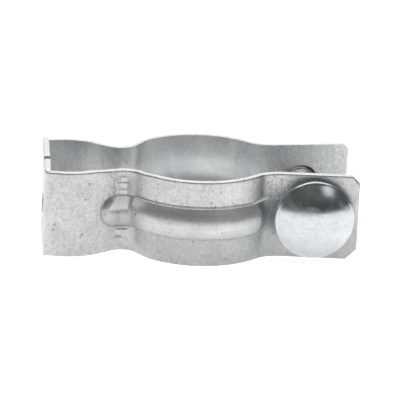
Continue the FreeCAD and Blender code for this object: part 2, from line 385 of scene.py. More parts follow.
def face_marks(side_run, z, outer):
    """Masks for the finish, in the order of FACE_MARKS."""
    run = np.abs(side_run)
    bead = rib_bead(run, z)
    starts = PLAN.starts
    past = run - starts["neck"]
    corner = band(run, starts["corner"] - 0.2, starts["corner"] + 0.1,
                  starts["arm"] - 0.15, starts["arm"] + 0.1)
    pressed = np.maximum(smooth_step(bead, -0.15, 0.25), corner)
    fade = smooth_step(run, starts["ear_bend"] + 2.4, starts["ear_bend"] + 0.6)
    # painted shade in the crease along the rib's foot, strongest near its round end and along its lower
    # foot, weaker past the ear bend
    painted_shade = foot_mark(bead, 0.16) * (0.15 + 0.85 * fade) * (0.45 + 0.55 * smooth_step(z, 1.6, 0.4))
    painted_shade = painted_shade * (0.4 + 0.6 * smooth_step(past, 4.0, 1.0))
    # bands of painted shade: where the neck turns into the saddle, and in the ear bend
    neck = starts["saddle"] - 2.2
    past_neck = smooth_step(run, neck - 0.3, neck) * np.exp(-(np.maximum(run - neck, 0) / 1.4) ** 2)
    shade_bands = 2.6 * past_neck * (0.1 + 0.9 * np.exp(-((z - 4.6) / 1.9) ** 2))
    ear = (starts["ear_bend"] + starts["ear"]) / 2 - 1.6
    shade_bands = shade_bands + 1.1 * np.exp(-((run - ear) / 1.0) ** 2) * (0.3 + 0.7 * smooth_step(z, -4.0, -1.5))
    painted_highlight = low = flaky = 0 * z + 0 * run
    if outer:
        below_edge = half_width(side_run, 1) - z
        # painted shade: a dark line just below the rolled top edge, standing for the dark reflection in its
        # rounding
        painted_shade = painted_shade + 0.45 * np.exp(-((below_edge - ROLLED_EDGE) / 0.1) ** 2)
        # the rib's round end: painted shade beside its upper shoulder and a painted dark line on its crown
        reach, turn = np.hypot(past, z), np.arctan2(z, past)
        smudge_and_shade = np.exp(-((reach - 2.75) / 0.5) ** 2) * smooth_step(turn, 1.75, 2.1)
        painted_shade = painted_shade + 0.6 * smudge_and_shade * smooth_step(turn, 3.1, 2.7)
        crease = np.exp(-((z - 0.2) / 0.36) ** 2) * smooth_step(past, -2.2, -1.0)
        painted_shade = painted_shade + 1.1 * crease * smooth_step(past, 4.2, 2.4)
        # painted shade: darker towards the bottom of the outer face, and on the lower half of the rib near
        # its round end
        low = smooth_step(z, 1.0, -4.0) * (1 - pressed) * (0.25 + 0.85 * smooth_step(past, 5.0, 11.0))
        low = low + (bead > 0.05) * smooth_step(z, 0.3, -0.4) * smooth_step(past, 6.0, 3.0)
        flaky = band(run, ear + 0.8, ear + 1.8, ear + 4.5, ear + 6.5) * smooth_step(z, -2.0, 1.5)
        # lighter matt patches of painted highlight: two on the rib's upper flank, and the ridge at its far
        # end
        painted_highlight = smooth_step(past + 2.5 - 0.87 * z, -0.35, 0.35) * smooth_step(past, 3.3, 2.3)
        painted_highlight = painted_highlight + 0.65 * band(past, 3.4, 4.0, 4.6, 8.0) * smooth_step(z, 1.0, 2.1)
        painted_highlight = painted_highlight * band(z, 0.25, 0.9, 2.6, 3.1)
        foot, strong = ridge_line(run)
        painted_highlight = painted_highlight + strong * np.exp(-((z - foot - 0.03) / 0.16) ** 2)
        # more painted shade: the rest of that flank, and where the rib sinks into the ear bend
        flank = band(z, 1.3, 2.3, 2.9, 3.1) * smooth_step(past, 7.0, 11.0)
        shade_bands = shade_bands + 0.4 * flank * fade
        rib_end = band(run, starts["ear_bend"] + 0.4, starts["ear_bend"] + 1.2,
                       starts["ear"] - 0.8, starts["ear"] + 1.2)
        shade_bands = np.maximum(shade_bands, 0.9 * rib_end * band(z, -2.6, -0.8, 2.4, 3.3))
    else:
        # the inner face takes the painted shade at lower strength
        painted_shade, shade_bands = 0.35 * painted_shade, 0.3 * shade_bands
        # painted shade on the inner face, from the saddle to the ear bend
        low = 0.8 * smooth_step(past, 5.0, 11.0) * smooth_step(run, ear, ear - 4.0)
        flaky = 0.45 * smooth_step(run, ear + 0.5, ear + 3.0)
    inner = 0 * painted_highlight + (0.0 if outer else 1.0)
    return painted_shade, pressed, shade_bands, painted_highlight, low, flaky, inner


def smooth_step(value, low, high):
    """0 at low, 1 at high, level at both. low may be the larger."""
    t = np.clip((value - low) / (high - low), 0, 1)
    return t * t * (3 - 2 * t)


def band(value, rise, top, top_end, fall):
    """1 from top to top_end, fading to 0 at rise and at fall."""
    return smooth_step(value, rise, top) * smooth_step(value, fall, top_end)


def half_width(side_run, side):
    """Height of the strap's top (side 1) or bottom (side -1) edge over its middle."""
    run = np.abs(side_run)
    corner = PLAN.starts["corner"]
    proud = (WEB_WIDTH - STRIP_WIDTH) / 2
    width = STRIP_WIDTH / 2 + EDGE_COATING
    width = width + proud * (1 - smooth_step(run, corner - 0.1, corner + 0.9))
    points, _ = PLAN.at(run)
    trim_radius = (NECK_TRIM_HALF_LENGTH ** 2 + NECK_TRIM ** 2) / (2 * NECK_TRIM)
    off = np.minimum(np.abs(points[..., 0] - NECK_X), NECK_TRIM_HALF_LENGTH)
    trim = NECK_TRIM - (trim_radius - np.sqrt(trim_radius ** 2 - off ** 2))
    width = width - np.maximum(trim, 0)
    # the web stands taller at its upper far corner and its lower near corner
    taller = smooth_step(side * side_run, 0.0, corner - 1.5)
    width = width + WEB_CORNER_RISE * taller * smooth_step(run, corner + 1.2, corner + 0.6)
    if side > 0:
        notch = 1 - np.abs(side_run - EDGE_NOTCH_Y) / EDGE_NOTCH_HALF_WIDTH
        width = width - EDGE_NOTCH_DEPTH * np.clip(notch * 1.15, 0, 1)
    index = 1 if side > 0 else 0
    corner_cut = np.where(side_run < 0, FRONT_CORNERS[index], REAR_CORNERS[index])
    return width - np.maximum(run - (PLAN.run - corner_cut), 0)


# -------------------- mesh helpers

def new_object(name, mesh):
    obj = bpy.data.objects.new(name, mesh)
    bpy.context.scene.collection.objects.link(obj)
    return obj


def mark_sharp(bm, degrees):
    """Smooth faces, with the edges sharper than this left as edges."""
    limit = math.radians(degrees)
    for face in bm.faces:
        face.smooth = True
    for e in bm.edges:
        e.smooth = len(e.link_faces) == 2 and e.calc_face_angle(0) < limit


def finish_mesh(name, bm, materials, sharp=SHARP_EDGE):
    bmesh.ops.recalc_face_normals(bm, faces=bm.faces)
    mark_sharp(bm, sharp)
    mesh = bpy.data.meshes.new(name)
    bm.to_mesh(mesh)
    bm.free()
    for material in materials:
        mesh.materials.append(material)
    return new_object(name, mesh)


def weld(bm):
    """Joins the seams of a piece built from rings."""
    bmesh.ops.remove_doubles(bm, verts=bm.verts, dist=WELD)
    bmesh.ops.dissolve_degenerate(bm, edges=bm.edges, dist=NO_LENGTH)


def apply_cuts(obj, cutters):
    """Cuts these solids out of an object and removes them."""
    for cutter in cutters:
        modifier = obj.modifiers.new("cut", "BOOLEAN")
        modifier.operation = "DIFFERENCE"
        modifier.solver = "EXACT"
        modifier.object = cutter
    graph = bpy.context.evaluated_depsgraph_get()
    cut = bpy.data.meshes.new_from_object(obj.evaluated_get(graph))
    obj.modifiers.clear()
    obj.data = cut
    for cutter in cutters:
        bpy.data.objects.remove(cutter)
    bm = bmesh.new()
    bm.from_mesh(cut)
    bmesh.ops.dissolve_degenerate(bm, edges=bm.edges, dist=NO_LENGTH)
    mark_sharp(bm, SHARP_EDGE)
    bm.to_mesh(cut)
    bm.free()


# -------------------- the strap

def strap_rows(start, end):
    """Runs of the cross-sections from start to end, closer on tight bends and on every kink."""
    marks = [start, end]
    for begin, length, _, _, bend in PLAN.stretches:
        step = ROW_STEP if bend == 0 else min(ROW_STEP, ROW_TURN / abs(bend))
        count = max(1, math.ceil(length / step))
        for k in range(count + 1):
            marks += [begin + length * k / count, -(begin + length * k / count)]
    tip = PLAN.starts["neck"] - 1.2 * RIB_HALF_WIDTH
    for k in range(math.ceil(2.8 * RIB_HALF_WIDTH / TIP_ROW_STEP)):
        marks += [tip + k * TIP_ROW_STEP, -(tip + k * TIP_ROW_STEP)]
    for k in range(-4, 5):
        marks.append(EDGE_NOTCH_Y + EDGE_NOTCH_HALF_WIDTH * k / 4)
    marks += [PLAN.run - size for size in REAR_CORNERS]
    marks += [size - PLAN.run for size in FRONT_CORNERS]
    rows = []
    for mark in sorted(m for m in marks if start <= m <= end):
        if not rows or mark - rows[-1] > LEAST_ROW_GAP:
            rows.append(mark)
    rows[-1] = end
    return rows


def section(run, inset):
    """One closed cross-section: its points, how far round each is, which faces are on cut edges,
    and the finish masks. inset draws all of it in, for the rounded cut ends."""
    low = -half_width(run, -1) + inset
    high = half_width(run, 1) - inset
    heights = face_columns(low + LOWER_EDGE, high - ROLLED_EDGE)
    runs = np.full(FACE_COLUMNS, float(run))
    outer = outer_surface(runs, heights)
    normals = surface_normal(runs, heights)
    darts = (dart_height(np.abs(runs), heights) - inset)[:, None] * normals
    back = face_columns(low + BURRED_EDGE, high - BURRED_EDGE)[::-1]
    inner = inner_surface(runs, back, inset)
    top = cut_edge(run, high, 1, inset)
    bottom = cut_edge(run, low, -1, inset)[::-1]
    points = np.concatenate([outer + darts, top, inner, bottom])
    plain = np.zeros((len(FACE_MARKS), len(top)))
    rolled = plain.copy()
    # the rolled edge's first faces take painted shade
    rolled[0, :ROLLED_DARK_FACES] = ROLLED_PAINTED_SHADE
    marks = np.concatenate([face_marks(runs, heights, True), rolled,
                            face_marks(runs, back, False), plain], axis=1)
    on_edge = [False] * (FACE_COLUMNS - 1 + ROLLED_DARK_FACES)
    on_edge += [True] * (len(top) + 1 - ROLLED_DARK_FACES)
    on_edge += [False] * (FACE_COLUMNS - 1) + [True] * (len(bottom) + 1)
    closed = np.concatenate([points, points[:1]])
    around = np.concatenate([[0], np.cumsum(np.linalg.norm(np.diff(closed, axis=0), axis=1))])
    return points, around, on_edge, marks


def face_columns(low, high):
    """Heights of the columns of points up the face, closer together at the rib's foot."""
    fine = np.linspace(low, high, 2001)
    density = 1 + 2.5 * np.exp(-((np.abs(fine) - RIB_HALF_WIDTH) / 0.45) ** 2)
    density = density + 4 * np.exp(-((fine - RIB_HALF_WIDTH - 0.15) / 0.3) ** 2)
    share = np.concatenate([[0], np.cumsum((density[1:] + density[:-1]) / 2)])
    return np.interp(np.linspace(0, share[-1], FACE_COLUMNS), share, fine)


def cut_edge(run, height, side, inset):
    """Points over the strap's top or bottom edge, from the outer face to the inner one."""
    places = []
    roll = ROLLED_EDGE if side > 0 else LOWER_EDGE
    for turn in (22.5, 45, 67.5, 90):
        a = math.radians(turn)
        depth = roll * (1 - math.cos(a))
        places.append((inset + depth, height - side * roll * (1 - math.sin(a))))
    places.append((SHEET / 2, height))
    for turn in (90, 60, 30):
        a = math.radians(turn)
        depth = BURRED_EDGE * (1 - math.cos(a))
        places.append((SHEET - inset - depth, height - side * BURRED_EDGE * (1 - math.sin(a))))
    runs = np.full(len(places), float(run))
    heights = np.array([z for _, z in places])
    depths = np.array([d for d, _ in places])
    return outer_surface(runs, heights) - surface_normal(runs, heights) * depths[:, None]


def strap_piece(name, start, end, materials, round_start=False, round_end=False):
    """A length of the strap between two runs, with rounded cut ends where asked."""
    rows = [(run, 0.0) for run in strap_rows(start, end)]
    for turn in (30, 60, 90):
        a = math.radians(turn)
        shift, inset = END_ROUNDING * (1 - math.sin(a)), END_ROUNDING * (1 - math.cos(a))
        if round_end:
            rows = [r for r in rows if r[0] < end - END_ROUNDING or r[1]] + [(end - shift, inset)]
        if round_start:
            rows = [(start + shift, inset)] + [r for r in rows if r[0] > start + END_ROUNDING or r[1]]
    rows.sort()
    bm = bmesh.new()
    uv = bm.loops.layers.uv.new("strip")
    for mark in FACE_MARKS:
        bm.verts.layers.float.new(mark)
    layers = [bm.verts.layers.float[mark] for mark in FACE_MARKS]
    previous, caps = None, []
    for run, inset in rows:
        points, around, on_edge, marks = section(run, inset)
        verts = [bm.verts.new(p * MM) for p in points]
        for layer, values in zip(layers, marks):
            for vert, value in zip(verts, values):
                vert[layer] = value
        in_notch = abs(run - EDGE_NOTCH_Y) < EDGE_NOTCH_HALF_WIDTH
        if previous:
            old_verts, old_around, old_run = previous
            for j, edge_here in enumerate(on_edge):
                k = (j + 1) % len(verts)
                face = bm.faces.new([old_verts[j], old_verts[k], verts[k], verts[j]])
                # faces in the notch of the top edge take the third finish, painted shadow
                face.material_index = (2 if in_notch and points[j][2] > 0 else 1) if edge_here else 0
                corners = [(old_run, old_around[j]), (old_run, old_around[j + 1]),
                           (run, around[j + 1]), (run, around[j])]
                for loop, (u, v) in zip(face.loops, corners):
                    loop[uv].uv = (u * MM, v * MM)
        else:
            caps.append(verts)
        previous = verts, around, run
    caps.append(previous[0])
    for cap in caps:
        bm.faces.new(cap).material_index = 1
    return finish_mesh(name, bm, materials)


def rounded_outline(half_length, half_height, radius, steps=12):
    """A closed outline with round corners, in two level directions."""
    points = []
    for quarter in range(4):
        sx = 1 if quarter in (0, 3) else -1
        sy = 1 if quarter < 2 else -1
        for k in range(steps + 1):
            a = math.radians(90 * (quarter + k / steps))
            points.append((sx * (half_length - radius) + radius * math.cos(a),
                           sy * (half_height - radius) + radius * math.sin(a)))
    return points


def hole_cutter(name, centre, normal, outline, materials):
    """A punch that flares at both faces of the sheet, so the hole's rims come out rounded."""
    across = Vector((0, 0, 1))
    normal = Vector(normal).normalized()
    along = across.cross(normal)
    # depth below the outer face, and how much wider the punch is there
    layers = [(-SHEET - 0.6, 1.0), (-SHEET - 0.02, 0.13), (-SHEET + 0.05, 0.04), (-SHEET + 0.13, 0.0),
              (-0.22, 0.0), (-0.1, 0.04), (-0.03, 0.12), (0.03, 0.24), (0.6, 1.0)]
    bm = bmesh.new()
    rings = []
    for depth, flare in layers:
        ring = []
        for u, v in outline:
            length = math.hypot(u, v)
            grow = (length + flare) / length
            place = Vector(centre) + along * (u * grow) + across * (v * grow) + normal * depth
            ring.append(bm.verts.new(place * MM))
        rings.append(ring)
    for lower, upper in zip(rings, rings[1:]):
        for k in range(len(outline)):
            n = (k + 1) % len(outline)
            bm.faces.new([lower[k], lower[n], upper[n], upper[k]])
    bm.faces.new(rings[0])
    bm.faces.new(rings[-1])
    bmesh.ops.remove_doubles(bm, verts=bm.verts, dist=NO_LENGTH)
    for face in bm.faces:
        face.material_index = 1
    return finish_mesh(name, bm, materials)


def circle_outline(radius):
    return [(radius * math.cos(a), radius * math.sin(a))
            for a in np.linspace(0, 2 * math.pi, 72, endpoint=False)]


def build_strap(materials):
    """The strap's three pieces, with the mounting hole, the front slot and the rear hole."""
    seam = PLAN.starts["arm"] + SEAM_RUN - corner_leg()
    web = strap_piece("strap_web", -seam, seam, materials)
    front = strap_piece("strap_front_half", -PLAN.run, -seam, materials, round_start=True)
    rear = strap_piece("strap_rear_half", seam, PLAN.run, materials, round_end=True)
    hole = circle_outline(MOUNT_HOLE_RADIUS)
    apply_cuts(web, [hole_cutter("punch_web", (0, 0, 0), (-1, 0, 0), hole, materials)])
    ear_normal = np.array([-math.sin(EAR_SPLAY), math.cos(EAR_SPLAY)])
    ear_run = np.array([math.cos(EAR_SPLAY), math.sin(EAR_SPLAY)])
    slot_centre = PLAN.ear_start + ear_run * SLOT_CENTRE_RUN
    slot = rounded_outline(SLOT_LENGTH / 2, SLOT_HEIGHT / 2, SLOT_CORNER_RADIUS)
    apply_cuts(front, [hole_cutter("punch_front", (slot_centre[0], -slot_centre[1], 0),
                                   (ear_normal[0], -ear_normal[1], 0), slot, materials)])
    crossing = bolt_crossing(ear_normal)
    hole = circle_outline(NUT_EAR_HOLE_RADIUS)
    apply_cuts(rear, [hole_cutter("punch_rear", (crossing[0], crossing[1], 0),
                                  (ear_normal[0], ear_normal[1], 0), hole, materials)])
    return web, front, rear


# -------------------- the bolt's axis, from the joints

JOINTS = {joint["name"]: joint for joint in frame["joints"]}
BOLT_RUN = Vector(JOINTS["bolt_draw"]["axis"]).normalized()
BOLT_SIDE = Vector((BOLT_RUN.y, -BOLT_RUN.x, 0))
NUT_CENTRE = Vector(JOINTS["nut_turn"]["pos_m"]) / MM
HEAD_CENTRE = NUT_CENTRE - BOLT_RUN * (NUT_FACE_RUN + NUT_THICKNESS / 2)


def bolt_crossing(ear_normal):
    """Where the bolt's axis meets the outer face of the rear ear, in plan."""
    start, run = np.array(HEAD_CENTRE[:2]), np.array(BOLT_RUN[:2])
    distance = np.dot(PLAN.ear_start - start, ear_normal) / np.dot(run, ear_normal)
    return start + run * distance


def bolt_place(radius, angle, run):
    """A point round the bolt's axis: run is measured from the underside of the head."""
    side = BOLT_SIDE * (radius * math.cos(angle)) + Vector((0, 0, -1)) * (radius * math.sin(angle))
    return (HEAD_CENTRE + side + BOLT_RUN * run) * MM


# crest, flanks and root of the thread over one pitch, as (share of the pitch, share of the depth)
THREAD_FORM = [(0.0, 0.05), (0.03, 0.0), (0.095, 0.0), (0.125, 0.05), (0.3125, 0.5), (0.5, 0.95),
               (0.53, 1.0), (0.595, 1.0), (0.625, 0.95), (0.8125, 0.5)]


def thread_rings(low, high, radius_at, columns):
    """Rings of a right-hand thread between two runs. The rings climb one pitch in a turn, so their
    edges follow the crest, and beyond both ends they lie flat on the end's circle."""
    turns = math.ceil((high - low) / THREAD_PITCH) + 2
    first = math.floor(low / THREAD_PITCH) - 1
    rings = []
    for turn in range(first, first + turns + 1):
        for share, depth in THREAD_FORM:
            ring = []
            for k in range(columns + 1):
                run = (turn + share + k / columns) * THREAD_PITCH
                held = min(max(run, low), high)
                ring.append((radius_at(held, depth if held == run else None), held))
            rings.append(ring)
    return rings


def thread_faces(bm, rings, columns):
    """Joins the climbing rings. The end of each ring is the start of the ring one pitch on."""
    verts = [[bm.verts.new(bolt_place(radius, 2 * math.pi * k / columns, run))
              for k, (radius, run) in enumerate(ring)] for ring in rings]
    for lower, upper in zip(verts, verts[1:]):
        for k in range(columns):
            bm.faces.new([lower[k], lower[k + 1], upper[k + 1], upper[k]])


def ring_faces(bm, rings, columns):
    """Joins plain rings, each a function of the angle that gives a radius and a run."""
    verts = []
    for ring in rings:
        row = []
        for k in range(columns):
            angle = 2 * math.pi * k / columns
            radius, run = ring(angle)
            row.append(bm.verts.new(bolt_place(radius, angle, run)))
        verts.append(row)
    for lower, upper in zip(verts, verts[1:]):
        for k in range(columns):
            n = (k + 1) % columns
            bm.faces.new([lower[k], lower[n], upper[n], upper[k]])
    return verts


def circle_ring(radius, run):
    return lambda angle: (radius, run)


def square_ring(half, corner, run, squareness):
    """A ring between a circle, at squareness 0, and a square with round corners, at 1."""
    def ring(angle):
        power = 2 + 14 * squareness
        c, s = abs(math.cos(angle)), abs(math.sin(angle))
        square = half / (c ** power + s ** power) ** (1 / power)
        return (min(square, corner), run)
    return ring


def shank_radius(run, depth):
    """Bolt thread: full between its run-out by the neck and the chamfer at the tip."""
    tip_start = SHANK_LENGTH - TIP_CHAMFER
    limit = THREAD_MAJOR - max(0.0, run - tip_start) * TIP_SLOPE
    if depth is None:
        return THREAD_MAJOR if run < SHANK_LENGTH / 2 else limit
    fade = min(1.0, max(0.0, (run - THREAD_START) / THREAD_RUN_OUT))
    return min(limit, THREAD_MAJOR - THREAD_DEPTH * depth * fade)


def cap_faces(bm, rim, pole_run):
    """Closes a ring of vertices with a fan to one point on the bolt's axis."""
    pole = bm.verts.new(bolt_place(0, 0, pole_run))
    for k, vert in enumerate(rim):
        bm.faces.new([pole, vert, rim[(k + 1) % len(rim)]])


def build_bolt(head_material, shank_material):
    bm = bmesh.new()
    dome = HEAD_HEIGHT - HEAD_LAND
    dome_radius = (HEAD_RADIUS ** 2 + dome ** 2) / (2 * dome)
    rings = []
    full = math.asin((HEAD_RADIUS - RIM_ROUNDING) / dome_radius)
    for k in range(1, 25):
        a = full * (k / 24)
        rings.append(circle_ring(dome_radius * math.sin(a),
                                 dome_radius * (1 - math.cos(a)) - HEAD_HEIGHT))
    # the rim rolls over from the dome into the land, and the land into the flat underside
    rim_run = dome_radius * (1 - math.cos(full)) - HEAD_HEIGHT
    for turn in (25, 50, 75, 90):
        a = math.radians(turn)
        rings.append(circle_ring(HEAD_RADIUS - RIM_ROUNDING * (1 - math.sin(a)),
                                 rim_run + RIM_FALL * (1 - math.cos(a))))
    rings.append(circle_ring(HEAD_RADIUS, -UNDERSIDE_RUN))
    for turn in (30, 60, 90):
        a = math.radians(turn)
        rings.append(circle_ring(HEAD_RADIUS - UNDERSIDE_ROUNDING * (1 - math.cos(a)),
                                 -UNDERSIDE_RUN + UNDERSIDE_RUN * math.sin(a)))
    rings.append(circle_ring(HEAD_SEAT_RADIUS, 0.0))
    half = NECK_SQUARE / 2
    corner = half * math.sqrt(2) - NECK_CORNER_CUT
    rings += [square_ring(half + 0.2, corner + 0.15, 0.0, 1),
              square_ring(half + 0.05, corner + 0.03, 0.08, 1),
              square_ring(half, corner, 0.22, 1),
              square_ring(half, corner, NECK_LENGTH - NECK_TAPER, 1)]
    # the square's corners are forged down onto the round shank
    for share in (0.2, 0.45, 0.7, 0.9):
        rings.append(square_ring(half - 0.1 * share, corner - (corner - THREAD_MAJOR) * share,
                                 NECK_LENGTH - NECK_TAPER * (1 - share), 1 - share * 0.6))
    rings += [circle_ring(THREAD_MAJOR, NECK_LENGTH + 0.1), circle_ring(THREAD_MAJOR, THREAD_START)]
    cap_faces(bm, ring_faces(bm, rings, BOLT_COLUMNS)[0], -HEAD_HEIGHT)
    head_faces = set(bm.faces)
    thread = thread_rings(THREAD_START, SHANK_LENGTH, shank_radius, BOLT_COLUMNS)
    thread_faces(bm, thread, BOLT_COLUMNS)
    # the sheared tip is dished in the middle
    tip_radius = shank_radius(SHANK_LENGTH, None)
    tip = ring_faces(bm, [circle_ring(tip_radius, SHANK_LENGTH),
                          circle_ring(tip_radius * 0.6, SHANK_LENGTH + 0.02),
                          circle_ring(tip_radius * 0.25, SHANK_LENGTH - 0.1)], BOLT_COLUMNS)
    cap_faces(bm, tip[-1], SHANK_LENGTH - 0.12)
    for face in bm.faces:
        face.material_index = 0 if face in head_faces else 1
    weld(bm)
    return finish_mesh("bolt_with_thread", bm, [head_material, shank_material], SHARP_THREAD_EDGE)


def nut_bore_radius(run, depth):
    """Nut thread: the bolt's form with a little play, opened by a countersink at each face."""
    thread = THREAD_MAJOR - THREAD_DEPTH * (1 if depth is None else depth) + THREAD_GAP
    from_face = min(run - NUT_FACE_RUN, NUT_FACE_RUN + NUT_THICKNESS - run)
    return max(thread, THREAD_MAJOR + NUT_COUNTERSINK - from_face)


def build_nut(material):
    """A hexagon nut, chamfered on both sides, whose flats meet in slightly round corners."""
    bm = bmesh.new()
    low, high = NUT_FACE_RUN, NUT_FACE_RUN + NUT_THICKNESS
    flat = NUT_ACROSS_FLATS / 2
    face_radius = flat * NUT_FACE_SHARE
    fall = math.tan(NUT_CHAMFER)

    def hexagon(angle):
        # the high power leaves the corners only slightly round
        power = 70
        total = sum(max(0.0, math.cos(angle - math.radians(60 * k))) ** power for k in range(6))
        return flat / total ** (1 / power)

    def wall(inward, drop):
        def ring(angle):
            radius = hexagon(angle) - inward
            run = max(0.0, radius - face_radius) * fall + drop
            return radius, run
        return ring

    def from_low(ring):
        return lambda angle: (ring(angle)[0], low + ring(angle)[1])

    def from_high(ring):
        return lambda angle: (ring(angle)[0], high - ring(angle)[1])

    mouth = THREAD_MAJOR + NUT_COUNTERSINK
    rings = [circle_ring(mouth, low), circle_ring(mouth + 0.08, low),
             circle_ring(face_radius - 0.25, low), circle_ring(face_radius, low + 0.02)]
    rings += [from_low(wall(0.12, 0.0)), from_low(wall(0.03, 0.06)), from_low(wall(0.0, 0.18))]
    for share in (0.35, 0.5, 0.65):
        rings.append(lambda angle, share=share: (hexagon(angle), low + NUT_THICKNESS * share))
    rings += [from_high(wall(0.0, 0.18)), from_high(wall(0.03, 0.06)), from_high(wall(0.12, 0.0))]
    rings += [circle_ring(face_radius, high - 0.02), circle_ring(face_radius - 0.25, high),
              circle_ring(mouth + 0.08, high), circle_ring(mouth, high)]
    ring_faces(bm, rings, NUT_COLUMNS)
    thread_faces(bm, thread_rings(low, high, nut_bore_radius, NUT_COLUMNS), NUT_COLUMNS)
    weld(bm)
    return finish_mesh("nut_with_thread", bm, [material], SHARP_THREAD_EDGE)


# -------------------- materials

class Nodes:
    """A short way to build a material's node tree."""

    def __init__(self, name):
        self.material = bpy.data.materials.new(name)
        self.material.use_nodes = True
        self.tree = self.material.node_tree
        self.shader = self.tree.nodes["Principled BSDF"]

    def add(self, kind, values=None, **settings):
        """A node with these settings, its inputs set to a value or linked to a socket."""
        node = self.tree.nodes.new(kind)
        for key, value in settings.items():
            setattr(node, key, value)
        for key, value in (values or {}).items():
            if isinstance(value, bpy.types.NodeSocket):
                self.tree.links.new(value, node.inputs[key])
            else:
                node.inputs[key].default_value = value
        return node

    def noise(self, coordinates, scale, detail=3.0, roughness=0.55, distortion=0.0):
        node = self.add("ShaderNodeTexNoise", {"Vector": coordinates, "Scale": scale, "Detail": detail,
                                               "Roughness": roughness, "Distortion": distortion})
        return node.outputs["Fac"]

    def stretched(self, coordinates, scale):
        return self.add("ShaderNodeMapping", {"Vector": coordinates, "Scale": scale}).outputs["Vector"]

    def remap(self, value, low, high, to_low=0.0, to_high=1.0):
        node = self.add("ShaderNodeMapRange", {"Value": value, "From Min": low, "From Max": high,
                                               "To Min": to_low, "To Max": to_high})
        return node.outputs["Result"]

    def mix(self, factor, first, second, blend="MIX"):
        # inputs 6 and 7 and output 2 are the colours
        values = {0: factor, 6: first, 7: second}
        return self.add("ShaderNodeMix", values, data_type="RGBA", blend_type=blend).outputs[2]

    def math(self, operation, first, second):
        return self.add("ShaderNodeMath", {0: first, 1: second}, operation=operation).outputs[0]

    def times(self, first, second):
        return self.math("MULTIPLY", first, second)

    def less(self, value, share, whole=1.0):
        """The whole, less this share of a value."""
        return self.math("SUBTRACT", whole, self.times(value, share))

    def bump(self, height, distance, strength, below=None):
        values = {"Height": height, "Distance": distance, "Strength": strength}
        if below is not None:
            values["Normal"] = below
        return self.add("ShaderNodeBump", values).outputs["Normal"]

    def connect(self, **sockets):
        for key, value in sockets.items():
            self.tree.links.new(value, self.shader.inputs[key.replace("_", " ")])


def grey(value, tint=0.0):
    """A grey, slightly blue with a positive tint."""
    return (value * (1 - tint), value, value * (1 + tint), 1)


def galvanised():
    """Zinc on pressed sheet: cloudy, flaked and pitted where it is flat, smoother where pressed, with
    painted shade along the rib's foot, in the tight bends and on the lower half, and painted highlight."""
    n = Nodes("galvanised_zinc")
    place = n.add("ShaderNodeUVMap", uv_map="strip").outputs["UV"]
    painted_shade, pressed, shade_bands, painted_highlight, low, flaky, inner = (
        n.add("ShaderNodeAttribute", attribute_name=name).outputs["Fac"] for name in FACE_MARKS)
    cloud = n.noise(place, 230, 4, 0.6, 0.6)
    patch = n.noise(n.stretched(place, (1.5, 0.7, 1.0)), 800, 4, 0.65, 0.5)
    flake = n.noise(n.stretched(place, (1.1, 0.9, 1.0)), 1500, 5, 0.8, 0.6)
    speck = n.noise(place, 4200, 3, 0.8)
    crowd = n.noise(place, 380, 3, 0.6, 0.5)
    streak = n.noise(n.stretched(place, (0.1, 1.0, 1.0)), 2200, 3, 0.5)
    stain = n.noise(n.stretched(place, (1.3, 0.5, 1.0)), 120, 3, 0.5, 0.9)
    # the flakes show on flat zinc, more in some places than in others
    flat = n.times(n.less(pressed, 0.5), n.less(inner, 0.3))
    flat = n.times(flat, n.less(low, 0.35))
    flat = n.times(flat, n.math("ADD", n.remap(crowd, 0.36, 0.6, 0.6, 1.0), flaky))
    tone = n.mix(n.remap(cloud, 0.34, 0.66), grey(0.56, 0.006), grey(0.67, 0.002))
    tone = n.mix(n.remap(patch, 0.36, 0.66, 0.0, 0.5), tone, grey(0.76))
    # painted shade, darker towards the bottom
    tone = n.mix(n.times(low, 0.6), tone, grey(0.40, 0.004))
    tone = n.mix(n.times(flaky, 0.6), tone, grey(0.84))
    tone = n.mix(n.remap(inner, 0.0, 1.0, 0.0, 0.25), tone, grey(0.80, 0.012))
    stained = n.times(n.remap(stain, 0.40, 0.58), n.remap(inner, 0.0, 1.0, 0.08, 0.55))
    tone = n.mix(stained, tone, grey(0.42, 0.02))
    tone = n.mix(n.times(n.remap(flake, 0.51, 0.63, 0.0, 0.48), flat), tone, grey(0.93))
    tone = n.mix(n.times(n.remap(flake, 0.48, 0.37, 0.0, 0.5), flat), tone, grey(0.34, 0.01))
    tone = n.mix(n.times(n.remap(speck, 0.46, 0.34, 0.0, 0.7), flat), tone, grey(0.28, 0.01))
    tone = n.mix(n.times(n.remap(speck, 0.54, 0.66, 0.0, 0.5), flat), tone, grey(0.92))
    tone = n.mix(n.times(n.remap(streak, 0.5, 0.68, 0.0, 0.4), pressed), tone, grey(0.46, 0.015))
    # dark pits, far apart, crowded in places
    cells = {"Vector": n.stretched(place, (1.0, 0.8, 1.0)), "Scale": 900.0, "Randomness": 1.0}
    nearest = n.add("ShaderNodeTexVoronoi", cells).outputs["Distance"]
    pit = n.times(n.remap(nearest, 0.26, 0.1), n.remap(crowd, 0.5, 0.6))
    pit = n.times(pit, n.less(inner, 0.85))
    tone = n.mix(n.times(pit, 0.5), tone, grey(0.16))
    # painted shade in the bands on tight bends
    tone = n.mix(n.times(shade_bands, n.remap(patch, 0.3, 0.7, 0.2, 0.48)), tone, grey(0.3, 0.03))
    # painted highlight, near white; the same mask makes these patches matt
    tone = n.mix(n.times(painted_highlight, n.remap(flake, 0.35, 0.5, 0.8, 1.0)), tone, grey(1.0))
    # painted shade, near black
    tone = n.mix(n.times(painted_shade, n.remap(flake, 0.3, 0.65, 0.75, 0.35)), tone, grey(0.13))
    fine = n.remap(speck, 0.35, 0.65, -0.04, 0.08)
    roughness = n.math("ADD", n.remap(cloud, 0.3, 0.7, 0.46, 0.36), fine)
    roughness = n.math("ADD", roughness, n.times(painted_highlight, 0.4))
    grain = n.bump(n.math("ADD", n.times(speck, flat), flake), 0.00004, 0.5)
    normal = n.bump(pit, -0.00008, 0.7, grain)
    n.connect(Base_Color=tone, Metallic=n.less(painted_highlight, 0.9, 0.82), Roughness=roughness,
              Normal=normal)
    return n.material


